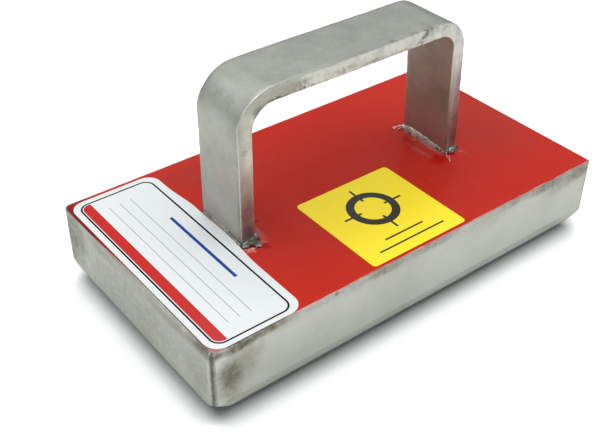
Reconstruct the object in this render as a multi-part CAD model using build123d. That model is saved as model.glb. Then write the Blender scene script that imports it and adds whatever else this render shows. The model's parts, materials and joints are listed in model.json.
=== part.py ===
from build123d import *
from math import atan2, degrees, sin, sqrt
import os

# Hand lifting magnet: a folded stainless case full of ferrite blocks, closed by the steel plate that is
# the magnets' yoke, with a handle bent from flat bar and welded to it. Millimetres, +Z up, origin under
# the middle of the pull face. "Left" is -X, "front" is -Y.

# Case, folded up from one sheet
case_length = 200.0
case_width = 109.0
sheet = 2.0
bend_radius = 12.0  # outside radius of the four folds round the pull face
corner_radius_front = 1.2  # corner seams, as the grinder left them
corner_radius_back = 3.0
corner_grind_left = 3.2  # how deep the grinder went into the point of each lower corner
corner_grind_right = 2.0
grind_slope = 1.6  # how far that facet faces down
seam_width = 2.4

# What is stacked on the floor of the case
floor_skin = 0.2  # resin between the floor and the lower magnets
magnet_height = 12.7
glue_line = 0.2
yoke_thickness = 8.0
layer_names = ("lower", "upper")
row_names = ("front", "back")
column_count = 4
column_gap = 2.0
spacer_thickness = 4.0  # aluminium bar that keeps the two rows apart
end_clearance = 1.0  # from the blocks to the start of the folds
side_clearance = 0.5

# Joint between the yoke plate and the rim
plate_gap = 0.3
weld_prep = 1.5
stitch_length = 20.0
stitch_count_long = 5
stitch_count_short = 3

# Handle, bent from flat bar
bar_width = 27.0
bar_thickness = 6.5
handle_span = 116.5  # over the outside of the feet
handle_rise = 65.5  # from the plate to the top of the bar
handle_shift_x = 1.2
handle_shift_y = 2.0
bend_left = 9.5  # inside radii: the left bend was made fuller than the right one
bend_right = 7.5
right_lean = 2.4  # how far the right leg leans in at the top
bar_edge = 0.5  # rolled edge of the bar

# Beads round the feet: leg of each pass, and the spacing and depth of its ripples
leg_outer_left = 1.5
leg_outer_right = 2.4
leg_inner = 2.6
leg_end = 2.3
ripple = 6.8
ripple_depth = 0.12
ripple_swing = 0.07

# Red film, white label and yellow sticker
film_thickness = 0.2
film_margin = 0.3
film_gap = 0.3
film_cut_radius = 1.5
label_thickness = 0.15
label_length = 106.0
label_corner = 6.0
label_end_margin = 1.5
label_gap = 0.15  # to the bead of the left foot
label_front_margin = 0.8
sticker_size = 49.0
sticker_corner = 1.8
sticker_shift_x = 0.1
sticker_front_margin = 2.1

# Heights that follow from the stack
stack_bottom = sheet + floor_skin
layer_pitch = magnet_height + glue_line
yoke_bottom = stack_bottom + len(layer_names) * layer_pitch
case_height = yoke_bottom + yoke_thickness
film_top = case_height + film_thickness

# Block sizes that follow from the flat of the floor
flat_length = case_length - 2 * (bend_radius + end_clearance)
flat_width = case_width - 2 * (bend_radius + side_clearance)
magnet_length = (flat_length - (column_count - 1) * column_gap) / column_count
magnet_width = (flat_width - spacer_thickness) / len(row_names)

parts = {}


def standing(width, length, height, bottom):
    return Pos(0, 0, bottom) * Box(width, length, height, align=(Align.CENTER, Align.CENTER, Align.MIN))


# From the middle of a fold to the point of its mitre, measured square to the facet ground there
mitre_reach = bend_radius * sqrt(4 + grind_slope**2) / sqrt(2 + grind_slope**2)


def folded_block(length, width, floor, top, radius, inset):
    # straight walls, flat floor and a round fold along each bottom edge; the folds meet in mitres, and
    # the point of each mitre is ground off flat; inset is how far the block lies inside the case
    def section(span):
        walls = FilletPolyline(
            (-span / 2, top), (-span / 2, floor), (span / 2, floor), (span / 2, top), radius=radius
        )
        return make_face([walls, Line((span / 2, top), (-span / 2, top))])

    along = extrude(Plane.YZ * section(width), length / 2, both=True)
    across = extrude(Plane.XZ * section(length), width / 2, both=True)
    block = along & across
    waste = standing(radius * 2, radius * 2, radius, 0)
    for side_x, grind in ((-1, corner_grind_left), (1, corner_grind_right)):
        for side_y in (-1, 1):
            middle = Vector(side_x * (length / 2 - radius), side_y * (width / 2 - radius), floor + radius)
            facing = Vector(side_x, side_y, -grind_slope).normalized()
            facet = middle + facing * (mitre_reach - grind - inset)
            block = block - Plane(facet, z_dir=facing) * waste
    return block


def rounded_plan(inset):
    plan = Rectangle(case_length - 2 * inset, case_width - 2 * inset)
    corners = plan.vertices().sort_by(Axis.Y)
    plan = fillet(corners[:2], max(corner_radius_front - inset, corner_radius_front / 2))
    corners = plan.vertices().sort_by(Axis.Y)
    return fillet(corners[-2:], max(corner_radius_back - inset, corner_radius_back / 2))


def dressing(radius):
    # what the grinder takes off an upright corner that points along +X, turned 45 degrees
    waste = Pos(-radius / 2, -radius / 2) * Rectangle(radius, radius) - Pos(-radius, -radius) * Circle(radius)
    return Rot(0, 0, -45) * Pos(0, 0, -sheet) * extrude(waste, case_height + 2 * sheet)


# Case shell and its four welded corner seams
corner_radii = {"front": corner_radius_front, "back": corner_radius_back}
blank = folded_block(case_length, case_width, 0, case_height, bend_radius, 0)
hollow = folded_block(
    case_length - 2 * sheet,
    case_width - 2 * sheet,
    sheet,
    case_height + sheet,
    bend_radius - sheet,
    sheet,
)
shell = blank - hollow
seam_reach = bend_radius * sqrt(2)  # along the mitre, from the corner to the flat of the floor
seam_overhang = seam_width  # past the corner, so that the cut goes right through
for side_x, end_name in ((-1, "left"), (1, "right")):
    for side_y, side_name in ((-1, "front"), (1, "back")):
        turn = degrees(atan2(side_y, side_x))
        corner = Pos(side_x * case_length / 2, side_y * case_width / 2) * Rot(0, 0, turn)
        shell = shell - corner * dressing(corner_radii[side_name])
        slab = standing(seam_reach + seam_overhang, seam_width, case_height, 0)
        slab = corner * Pos((seam_overhang - seam_reach) / 2) * slab
        parts[f"corner_seam_{side_name}_{end_name}"] = shell & slab
        shell = shell - slab
parts["tray_shell"] = shell

# Yoke plate, let into the rim with a bevel for the weld
yoke_length = case_length - 2 * (sheet + plate_gap)
yoke_width = case_width - 2 * (sheet + plate_gap)
yoke = standing(yoke_length, yoke_width, yoke_thickness, yoke_bottom)
parts["yoke_plate"] = chamfer(yoke.edges().group_by(Axis.Z)[-1], weld_prep)


def rim_stitches(half_span, run, count, turn):
    # short fillets in the groove between rim and plate, ground flush with the top
    wall = half_span - sheet
    section = Polygon(
        (wall, case_height),
        (wall, case_height - weld_prep),
        (wall - plate_gap, case_height - weld_prep),
        (wall - plate_gap - weld_prep, case_height),
        align=None,
    )
    stitch = extrude(Plane.YZ * section, stitch_length / 2, both=True)
    pitch = run / count
    starts = [(index - (count - 1) / 2) * pitch for index in range(count)]
    return Rot(0, 0, turn) * Compound([Pos(start, 0, 0) * stitch for start in starts])


for half_turns, name in enumerate(("back", "front")):
    row = rim_stitches(case_width / 2, case_length, stitch_count_long, half_turns * 180)
    parts[f"rim_stitches_{name}"] = row
for half_turns, name in enumerate(("left", "right")):
    row = rim_stitches(case_length / 2, case_width, stitch_count_short, half_turns * 180 + 90)
    parts[f"rim_stitches_{name}"] = row

# Magnet blocks in two rows and two layers, with the glue on top of each block
row_pitch = magnet_width + spacer_thickness
column_pitch = magnet_length + column_gap
cells = []
for row, row_name in enumerate(row_names):
    for column in range(column_count):
        cell_x = (column - (column_count - 1) / 2) * column_pitch
        cell_y = (row - (len(row_names) - 1) / 2) * row_pitch
        cells.append((row_name, column + 1, cell_x, cell_y))
for layer, layer_name in enumerate(layer_names):
    bottom = stack_bottom + layer * layer_pitch
    block = standing(magnet_length, magnet_width, magnet_height, bottom)
    glue = standing(magnet_length, magnet_width, glue_line, bottom + magnet_height)
    for row_name, number, cell_x, cell_y in cells:
        parts[f"magnet_{layer_name}_{row_name}_{number}"] = Pos(cell_x, cell_y, 0) * block
    parts[f"magnet_glue_{layer_name}"] = Compound([Pos(x, y, 0) * glue for _, _, x, y in cells])

stack_height = yoke_bottom - stack_bottom
spacer = standing(flat_length, spacer_thickness, stack_height, stack_bottom)
parts["row_spacer"] = spacer

# Resin poured round the stack
resin = folded_block(
    case_length - 2 * sheet,
    case_width - 2 * sheet,
    sheet,
    yoke_bottom,
    bend_radius - sheet,
    sheet,
)
pocket = standing(magnet_length, magnet_width, stack_height, stack_bottom)
resin = resin - spacer
for _, _, cell_x, cell_y in cells:
    resin = resin - Pos(cell_x, cell_y, 0) * pocket
parts["potting_resin"] = resin

# Handle: one length of flat bar with two bends, its ends cut square to the plate
foot_left = handle_shift_x - handle_span / 2
foot_right = handle_shift_x + handle_span / 2
bar_mid = bar_thickness / 2
spare = bar_thickness  # extra length below the plate, trimmed off
lean_rate = right_lean / (handle_rise - bar_mid)
centre_line = FilletPolyline(
    (foot_left + bar_mid, case_height - spare),
    (foot_left + bar_mid, case_height + handle_rise - bar_mid),
    (foot_right - bar_mid - right_lean, case_height + handle_rise - bar_mid),
    (foot_right - bar_mid + lean_rate * spare, case_height - spare),
    radius=[bend_left + bar_mid, bend_right + bar_mid],
)
strip = trace(centre_line, bar_thickness)
handle = extrude(Plane.XZ.offset(-handle_shift_y) * strip, bar_width / 2, both=True)
bar_front = handle_shift_y - bar_width / 2
bar_back = handle_shift_y + bar_width / 2
long_edges = [
    edge
    for edge in handle.edges()
    if abs(edge.center().Y - handle_shift_y) > bar_width / 4 and edge.center().Z > case_height - spare / 2
]
handle = fillet(long_edges, bar_edge)
handle = handle - standing(case_length, case_width, case_height, 0)
parts["handle_bar"] = handle


def toe(leg):
    # how far a bead can reach from the bar, at its largest ripple
    return leg * (1 + ripple_swing)


def bead(start, end, leg, cap):
    # one weld pass: a rippled outline turned round the corner line between the bar and the plate;
    # cap is how far its ends run past the bar, blunt where the pass starts and tapering where it stops
    run = Vector(*end) - Vector(*start)
    count = max(2, round(run.length / ripple))
    pitch = run.length / count
    outline = [(-cap, 0)] + ([(-0.8 * cap, 0.6 * leg)] if cap else [])
    for index in range(count):
        crest = leg * (1 + ripple_swing * sin(2.3 * index + leg))
        outline += [(index * pitch, leg * (1 - ripple_depth)), ((index + 0.7) * pitch, crest)]
    outline += [(run.length, leg * (1 - ripple_depth)), (run.length + cap, 0)]
    pass_solid = revolve(make_face(Polyline(*outline, close=True)), Axis.X)
    return Plane(Vector(*start), x_dir=run, z_dir=(0, 0, 1)) * pass_solid


below_plate = standing(case_length, case_width, case_height, 0)
film_cuts = []
feet = (
    ("left", foot_left, foot_left + bar_thickness, leg_outer_left, leg_inner),
    ("right", foot_right - bar_thickness, foot_right, leg_inner, leg_outer_right),
)
for name, low_x, high_x, leg_low, leg_high in feet:
    faces = ("outer", "inner") if name == "left" else ("inner", "outer")
    passes = (
        (faces[0], (low_x, bar_front), (low_x, bar_back), leg_low, leg_low),
        (faces[1], (high_x, bar_front), (high_x, bar_back), leg_high, leg_high),
        ("front", (low_x, bar_front), (high_x, bar_front), leg_end, 0),
        ("back", (low_x, bar_back), (high_x, bar_back), leg_end, 0),
    )
    laid = below_plate + handle
    for face_name, start, end, leg, cap in passes:
        weld = bead((*start, case_height), (*end, case_height), leg, cap) - laid
        laid = laid + weld
        parts[f"weld_{name}_{face_name}"] = weld
    cut_low = low_x - toe(leg_low) - film_gap
    cut_high = high_x + toe(leg_high) + film_gap
    cut_width = bar_width + 2 * (toe(max(leg_low, leg_high, leg_end)) + film_gap)
    cut = RectangleRounded(cut_high - cut_low, cut_width, film_cut_radius)
    film_cuts.append(Pos((cut_low + cut_high) / 2, handle_shift_y) * cut)

# Film over the top, label and sticker stuck on it
film = rounded_plan(film_margin)
for cut in film_cuts:
    film = film - cut
parts["top_film"] = Pos(0, 0, case_height) * extrude(film, film_thickness)

label_low = -case_length / 2 + label_end_margin
label_high = foot_left - toe(leg_outer_left) - label_gap
label_y = -case_width / 2 + label_front_margin + label_length / 2
label = extrude(RectangleRounded(label_high - label_low, label_length, label_corner), label_thickness)
parts["white_label"] = Pos((label_low + label_high) / 2, label_y, film_top) * label

sticker_y = -case_width / 2 + sticker_front_margin + sticker_size / 2
sticker = extrude(RectangleRounded(sticker_size, sticker_size, sticker_corner), label_thickness)
parts["yellow_sticker"] = Pos(sticker_shift_x, sticker_y, film_top) * sticker

os.makedirs("parts", exist_ok=True)
for name, solid in parts.items():
    export_step(solid, f"parts/{name}.step")
    print(f"{name:28s} {solid.volume:12.2f} mm3")
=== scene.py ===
import json
import math
from functools import partial

import bmesh
import bpy
from mathutils import Matrix, Vector, noise


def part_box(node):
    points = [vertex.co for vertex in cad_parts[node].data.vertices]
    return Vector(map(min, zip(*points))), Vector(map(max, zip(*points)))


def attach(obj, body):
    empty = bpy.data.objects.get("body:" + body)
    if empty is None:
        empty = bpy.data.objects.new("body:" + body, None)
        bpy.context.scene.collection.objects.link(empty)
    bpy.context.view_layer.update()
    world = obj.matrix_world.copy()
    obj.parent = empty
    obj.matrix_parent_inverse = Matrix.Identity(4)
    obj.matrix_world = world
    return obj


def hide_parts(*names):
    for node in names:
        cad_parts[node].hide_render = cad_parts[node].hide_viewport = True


# Looks for the hand lifting magnet: a folded stainless case full of ferrite blocks, a handle bent from flat
# bar and welded on, red vinyl film, a white label and a yellow sticker. Shapes are worked out in
# millimetres and scaled to metres at the end. -Y is the front, -X the label end, Z is up.

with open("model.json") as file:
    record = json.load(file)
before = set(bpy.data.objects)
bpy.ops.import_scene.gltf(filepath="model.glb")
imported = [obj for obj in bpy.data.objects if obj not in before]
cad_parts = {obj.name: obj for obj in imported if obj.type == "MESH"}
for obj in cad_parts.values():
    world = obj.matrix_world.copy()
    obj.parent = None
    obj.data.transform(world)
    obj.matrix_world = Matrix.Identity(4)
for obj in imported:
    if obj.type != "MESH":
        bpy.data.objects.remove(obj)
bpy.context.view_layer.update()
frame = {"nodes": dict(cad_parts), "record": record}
mm = 0.001
print("frame loaded:", len(frame["nodes"]), "nodes")


# Numbers and places

def boxOf(node):
    low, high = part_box(node)
    return low / mm, high / mm


def per(size):
    return 1 / (size * mm)  # scale of a pattern that repeats every size millimetres


def linear(colour):
    channels = [int(colour[i:i + 2], 16) / 255 for i in (1, 3, 5)]
    return [c / 12.92 if c <= 0.04045 else ((c + 0.055) / 1.055) ** 2.4 for c in channels] + [1]


def smoothStep(low, high, value):
    t = max(0.0, min(1.0, (value - low) / (high - low)))
    return t * t * (3 - 2 * t)


def reachFrom(point, centre, radii):
    # distance from centre, 1 where it reaches the radii
    return Vector([(p - c) / r for p, c, r in zip(point, centre, radii)]).length


# Nodes and materials

def addNode(tree, kind, *values, **settings):
    # values go to the inputs in their order, which for MapRange is value, from low, from high, to low and
    # to high, or by name where one is a dictionary. Each is a number, a hex colour, a socket, or a node,
    # which gives its first output in use.
    node = tree.nodes.new("ShaderNode" + kind)
    for key, value in settings.items():
        setattr(node, key, value)
    inputs = values[0] if values and isinstance(values[0], dict) else dict(enumerate(values))
    for key, value in inputs.items():
        if isinstance(value, bpy.types.Node):
            value = next(socket for socket in value.outputs if socket.enabled)
        if isinstance(value, bpy.types.NodeSocket):
            tree.links.new(value, node.inputs[key])
        else:
            node.inputs[key].default_value = linear(value) if isinstance(value, str) else value
    return node


def startMaterial(name):
    material = bpy.data.materials.new(name)
    material.use_nodes = True
    material.node_tree.nodes.clear()
    add = partial(addNode, material.node_tree)
    return material, add, add("TexCoord").outputs["Object"]


def finishMaterial(material, add, traits, height=None, strength=0, depth=0):
    # the shader and the output, with a relief of depth millimetres where there is one
    if height:
        traits["Normal"] = add("Bump", {"Height": height, "Strength": strength, "Distance": depth * mm})
    add("OutputMaterial", {"Surface": add("BsdfPrincipled", traits)})
    return material


def grains(add, place, size, detail, roughness, low, high, least=0.0, most=1.0):
    # noise in grains of size millimetres, its values from low to high spread over least to most
    grain = add("TexNoise", {"Vector": place, "Scale": per(size), "Detail": detail, "Roughness": roughness})
    return add("MapRange", grain, low, high, least, most)


def byHeight(add, place, low, high, least, most, curve="SMOOTHSTEP"):
    # goes from least to most between two heights in millimetres
    height = add("SeparateXYZ", {"Vector": place}).outputs["Z"]
    return add("MapRange", height, low * mm, high * mm, least, most, interpolation_type=curve)


def stain(add, colour, *tints):
    # lays tints over colour in turn, each one a colour with its mask, and a second mask where it needs one
    for tint, mask, *within in tints:
        if within:
            mask = add("Math", mask, within[0], operation="MULTIPLY")
        colour = add("Mix", {0: mask, 6: colour, 7: tint}, data_type="RGBA")
    return colour


def patchMask(add, place, centre, radii, inner=0.25):
    # soft egg-shaped patch: 1 at its middle, 0 past its radii (millimetres)
    start = [-c / r for c, r in zip(centre, radii)]
    moved = add("Mapping", {"Vector": place, "Location": start, "Scale": [per(r) for r in radii]})
    distance = add("VectorMath", moved, operation="LENGTH")
    return add("MapRange", distance, inner, 1.0, 1.0, 0.0, interpolation_type="SMOOTHSTEP")


def tintPatches(add, place, colour, patches, breakup, low=0.25, high=0.6, least=0.25):
    # lays soft stains over colour, each broken up by the noise in breakup between low and high
    for centre, radii, tint, strength in patches:
        rough = add("MapRange", breakup, low, high, least * strength, strength)
        colour = stain(add, colour, (tint, patchMask(add, place, centre, radii), rough))
    return colour


# Meshes and objects

def meshOf(shape, name):
    mesh = bpy.data.meshes.new(name)
    shape.to_mesh(mesh)
    shape.free()
    return mesh


def addObject(name, data):
    made = bpy.data.objects.new(name, data)
    bpy.context.scene.collection.objects.link(made)
    return made


def addModifier(piece, name, kind, **settings):
    modifier = piece.modifiers.new(name, kind)
    for key, value in settings.items():
        setattr(modifier, key, value)


def flatPlate(low, high, z=0.0):
    # one rectangular face
    shape = bmesh.new()
    bmesh.ops.create_grid(shape, x_segments=1, y_segments=1, size=0.5)
    bmesh.ops.scale(shape, vec=(high[0] - low[0], high[1] - low[1], 1), verts=shape.verts)
    bmesh.ops.translate(shape, vec=((low[0] + high[0]) / 2, (low[1] + high[1]) / 2, z), verts=shape.verts)
    return shape


def roundCorners(shape, verts, radius, segments):
    bmesh.ops.bevel(shape, geom=verts, offset=radius, affect="VERTICES", segments=segments, profile=0.5,
                    material=-1)


def joinInto(target, shape):
    mesh = meshOf(shape, "joined")
    target.from_mesh(mesh)
    bpy.data.meshes.remove(mesh)


def savePiece(shape, name, material, nodes=(), sharpAngle=35):
    bmesh.ops.scale(shape, vec=(mm, mm, mm), verts=shape.verts)
    for face in shape.faces:
        face.smooth = True
    for edge in shape.edges:
        edge.smooth = len(edge.link_faces) == 2 and edge.calc_face_angle(0) < math.radians(sharpAngle)
    piece = addObject(name, meshOf(shape, name))
    piece.data.materials.append(material)
    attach(piece, "root")
    if nodes:
        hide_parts(*nodes)
    return piece


# Camera and studio

camera = {
    "azimuth": -37.916,
    "elevation": 36.595,
    "roll": 0.394,
    "distance": 381.27,
    "target": (-32.953, -14.729, 42.096),
    "lens": 58.845,
}


def placeCamera():
    data = bpy.data.cameras.new("camera")
    data.lens = camera["lens"]
    data.sensor_width = 36
    data.clip_start = 0.01
    holder = addObject("camera", data)
    turn = Matrix()
    for angle, axis in ((camera["azimuth"], "Z"), (90 - camera["elevation"], "X"), (camera["roll"], "Z")):
        turn @= Matrix.Rotation(math.radians(angle), 4, axis)
    spot = (Vector(camera["target"]) + turn.col[2].to_3d() * camera["distance"]) * mm
    holder.matrix_world = Matrix.Translation(spot) @ turn
    bpy.context.scene.camera = holder


studio = {
    "skyStrength": 0.22,
    "skyColour": "#eef4f8",
    "floorColour": "#fbfcfb",
    # colour and reach of the painted contact shadow on the floor
    "paintedShadowColour": "#cbd0ce",
    "paintedShadowReach": 0.008,
    "floorSize": 6.0,
    "aim": (0, 0, 0.03),
    # name, place (m), size (m), power (W)
    "softboxes": (
        ("overheadBox", (0.0, 0.05, 1.6), 2.2, 52.5),
        ("frontBox", (0.4, -1.4, 1.1), 0.8, 1.2),
    ),
}


def lightStudio():
    world = bpy.data.worlds.new("studioSky")
    world.use_nodes = True
    world.node_tree.nodes.clear()
    add = partial(addNode, world.node_tree)
    sky = add("Background", {"Color": studio["skyColour"], "Strength": studio["skyStrength"]})
    add("OutputWorld", {"Surface": sky})
    bpy.context.scene.world = world
    for name, place, size, power in studio["softboxes"]:
        data = bpy.data.lights.new(name, "AREA")
        data.size = size
        data.energy = power
        holder = addObject(name, data)
        holder.location = place
        aim = Vector(studio["aim"]) - Vector(place)
        holder.rotation_euler = aim.to_track_quat("-Z", "Y").to_euler()


def layFloor():
    # matt board with a painted contact shadow: an ambient occlusion mask darkens its colour close under the
    # object
    material, add, place = startMaterial("mattFloorPaintedShadow")
    nearness = add("AmbientOcclusion", {"Distance": studio["paintedShadowReach"]}, samples=8)
    paintedShadowMask = add("MapRange", nearness.outputs["AO"], 0.5, 1.0)
    board = stain(add, studio["paintedShadowColour"], (studio["floorColour"], paintedShadowMask))
    finishMaterial(material, add, {"Base Color": board, "Roughness": 0.9, "Specular IOR Level": 0.1})
    reach = studio["floorSize"] / 2
    floor = addObject("floor", meshOf(flatPlate((-reach, -reach), (reach, reach)), "floor"))
    floor.data.materials.append(material)


placeCamera()
lightStudio()
layFloor()
bpy.context.scene.view_settings.view_transform = "Standard"
print("camera and studio set")


# Finishes

sheetFinish = {
    "pale": "#aeb0a8",
    "dull": "#a0a29a",
    "band": "#85837b",
    "dirt": "#5f5847",
    "roughness": 0.45,
    "bandHeight": (30, 36),
    "smudgeCentre": (-92.4, -54.5, 22.8),
    "fan": "#6d6a57",
    "fanRadii": (8.5, 4, 9.5),
    "fanMarks": 4.0,  # how closely the marks lie round the middle
    # centre, radii (mm), colour, strength
    "patches": (
        ((-92.0, -54.5, 22.8), (6.8, 5, 8.8), "#36342a", 0.9),
        ((-88.0, -54.5, 24.5), (11, 5, 11), "#7b7969", 0.6),
        ((-88, -54.5, 34.6), (11, 5, 3.2), "#4f463a", 1.0),
        ((-76, -54.5, 35.4), (12, 5, 2.8), "#5c5146", 0.9),
        ((-79, -54.5, 29), (3, 5, 5), "#8f8d86", 0.4),
        ((-97.5, -54.5, 35), (3.5, 5, 1.3), "#5c574d", 0.8),
        ((-44.7, -54.5, 35.4), (1.4, 2, 1.2), "#55463c", 0.8),
        ((93, -54.5, 33.0), (12, 6, 4.8), "#605f57", 0.85),
        ((82, -54.5, 31.5), (15, 6, 6), "#7f8077", 0.6),
        ((-20, -54.5, 34.6), (14, 6, 2.8), "#736760", 0.8),
        ((6, -54.5, 34.8), (18, 6, 2.6), "#857b75", 0.7),
        ((50, -54.5, 34.8), (12, 6, 2.4), "#7c7972", 0.65),
        ((71, -54.5, 34.5), (17, 6, 3.6), "#696760", 0.8),
        ((36, -54.5, 32), (16, 6, 5), "#96968f", 0.4),
        # painted shade: the next four darken the label end wall as a whole, most at its back corner, where
        # less light falls
        ((-100, 0, 20), (6, 62, 26), "#8a8b83", 0.75),
        ((-100, 46, 27), (5, 14, 13), "#5b5c53", 0.9),
        ((-100, 52, 18), (6, 7, 18), "#63655c", 0.8),
        ((-100, 46, 14), (5, 12, 9), "#74756e", 0.55),
        ((-99.5, -50, 36), (5, 16, 4.5), "#58554c", 1.0),
        # painted shade low on the label end wall near the front corner
        ((-100, -46, 20), (5, 13, 18), "#8b8c84", 0.8),
        ((-100, -30, 33.5), (5, 26, 3.5), "#77746b", 0.6),
        ((-92.6, -54.5, 15), (6.5, 5, 8), "#7d7a67", 0.7),
        ((-84.5, -54.5, 27.5), (6.5, 5, 6), "#8a8776", 0.6),
        ((-100, 24, 33), (5, 18, 3.5), "#7b776d", 0.6),
    ),
    # pale places, partly wear and partly painted highlight: the ground facet beside the seam and the edge of
    # the end wall
    "wearAndHighlight": (
        ((-98.0, -54.5, 31.0), (2.6, 5, 3.6), "#c4c6ba", 0.7),
        ((-95.3, -54.5, 32.4), (3.0, 5, 1.4), "#bfc1b4", 0.7),
        ((-100, -52.4, 24), (4, 1.5, 13), "#bcc0bb", 0.6),
        ((-96.5, -54.5, 11), (4, 8, 5), "#b6b9b1", 0.6),
    ),
}


def satinSheetSteel():
    # 304 sheet, belt ground and handled: soft wide reflections, faint clouds, a dull band under the rim
    material, add, place = startMaterial("satinSheetSteel")
    fine = add("TexNoise", {"Vector": place, "Scale": per(2.2), "Detail": 5, "Roughness": 0.7})
    # grit lines: 0.1 mm in the real sheet, drawn 0.5 mm apart so that they show
    lineVector = add("Mapping", {"Vector": place, "Scale": (per(24), per(24), per(0.5))})
    lines = add("TexNoise", {"Vector": lineVector, "Scale": 1, "Detail": 3})
    clouds = grains(add, place, 45, 4, 0.55, 0.38, 0.62)
    # mottled band, about 5 mm deep
    band = byHeight(add, place, *sheetFinish["bandHeight"], 0, 1)
    blotches = grains(add, place, 8, 6, 0.7, 0.40, 0.68, 0, 0.75)
    # brush marks that fan out from the middle of the smudge
    centre = sheetFinish["smudgeCentre"]
    arm = add("VectorMath", place, [c * mm for c in centre], operation="SUBTRACT")
    arms = add("SeparateXYZ", {"Vector": arm})
    turn = add("Math", arms.outputs["Z"], arms.outputs["X"], operation="ARCTAN2")
    reach = add("VectorMath", arm, operation="LENGTH")
    turned = add("Math", turn, sheetFinish["fanMarks"], operation="MULTIPLY")
    reached = add("Math", reach, per(4), operation="MULTIPLY")
    fanVector = add("CombineXYZ", {"X": turned, "Y": reached})
    fan = add("TexNoise", {
        "Vector": fanVector, "Scale": 1.1, "Detail": 5, "Roughness": 0.6, "Distortion": 0.8,
    })
    fanTone = add("MapRange", fan, 0.40, 0.66, 0, 0.8)
    fanPlace = patchMask(add, place, centre, sheetFinish["fanRadii"], 0.15)
    colour = stain(add, sheetFinish["dull"], (sheetFinish["pale"], clouds),
                   (sheetFinish["band"], band, blotches), (sheetFinish["fan"], fanTone, fanPlace))
    # the patches hold the smudge, stains and dirt under the rim, and painted shade on the label end wall; the
    # pale places are wear with painted highlight
    for patches in (sheetFinish["patches"], sheetFinish["wearAndHighlight"]):
        colour = tintPatches(add, place, colour, patches, fine)
    specks = grains(add, place, 1.1, 2, 0.5, 0.71, 0.80, 0, 0.4)
    colour = stain(add, colour, (sheetFinish["dirt"], specks))
    dullness = sheetFinish["roughness"]
    roughness = add("MapRange", fine, 0, 1, dullness - 0.06, dullness + 0.10)
    relief = add("Math", lines, fine, operation="ADD")
    traits = {"Base Color": colour, "Metallic": 1.0, "Roughness": roughness}
    return finishMaterial(material, add, traits, relief, 0.08, 0.1)


seamFinish = {
    "sheet": ("#86887f", "#a3a59d"),
    "weld": ("#4e4c43", "#727369"),
    "heat": "#6d5d45",
    "heatHeight": (7, 15),
    "top": ((-100, -54.5, 35), (3, 3, 3.2), "#55534a"),
    # the mitre at the label end, as x and y shares of a distance in millimetres, and its own distance
    "mitre": (707.1, -707.1, 0),
    "mitrePlace": 32.17,
    "halfWidth": (0.25, 0.95),
    "wander": 0.75,
}


def groundSeamSteel():
    # corner welds ground flush: duller than the sheet, mottled, with brown heat left at the foot
    material, add, place = startMaterial("groundSeamSteel")
    mottle = add("TexNoise", {"Vector": place, "Scale": per(5), "Detail": 6, "Roughness": 0.75})
    tone = add("MapRange", mottle, 0.34, 0.66)
    sheet, weld = (
        stain(add, dull, (pale, tone)) for dull, pale in (seamFinish["sheet"], seamFinish["weld"])
    )
    # the seam runs along the mitre, with ragged sides
    across = add("VectorMath", place, seamFinish["mitre"], operation="DOT_PRODUCT")
    fromMitre = add("Math", across, seamFinish["mitrePlace"], operation="ADD")
    wander = grains(add, place, 1.6, 3, 0.5, 0, 1, -seamFinish["wander"], seamFinish["wander"])
    wandered = add("Math", fromMitre, wander, operation="ADD")
    gap = add("Math", wandered, operation="ABSOLUTE")
    full, none = seamFinish["halfWidth"]
    seam = add("MapRange", gap, full, none, 1.0, 0.0)
    foot = byHeight(add, place, *seamFinish["heatHeight"], 0.6, 0.0)
    centre, radii, tint = seamFinish["top"]
    top = patchMask(add, place, centre, radii, 0)
    colour = stain(add, sheet, (weld, seam), (seamFinish["heat"], foot, seam), (tint, top))
    traits = {"Base Color": colour, "Metallic": 1.0, "Roughness": 0.5}
    return finishMaterial(material, add, traits, mottle, 0.25, 0.15)


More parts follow.
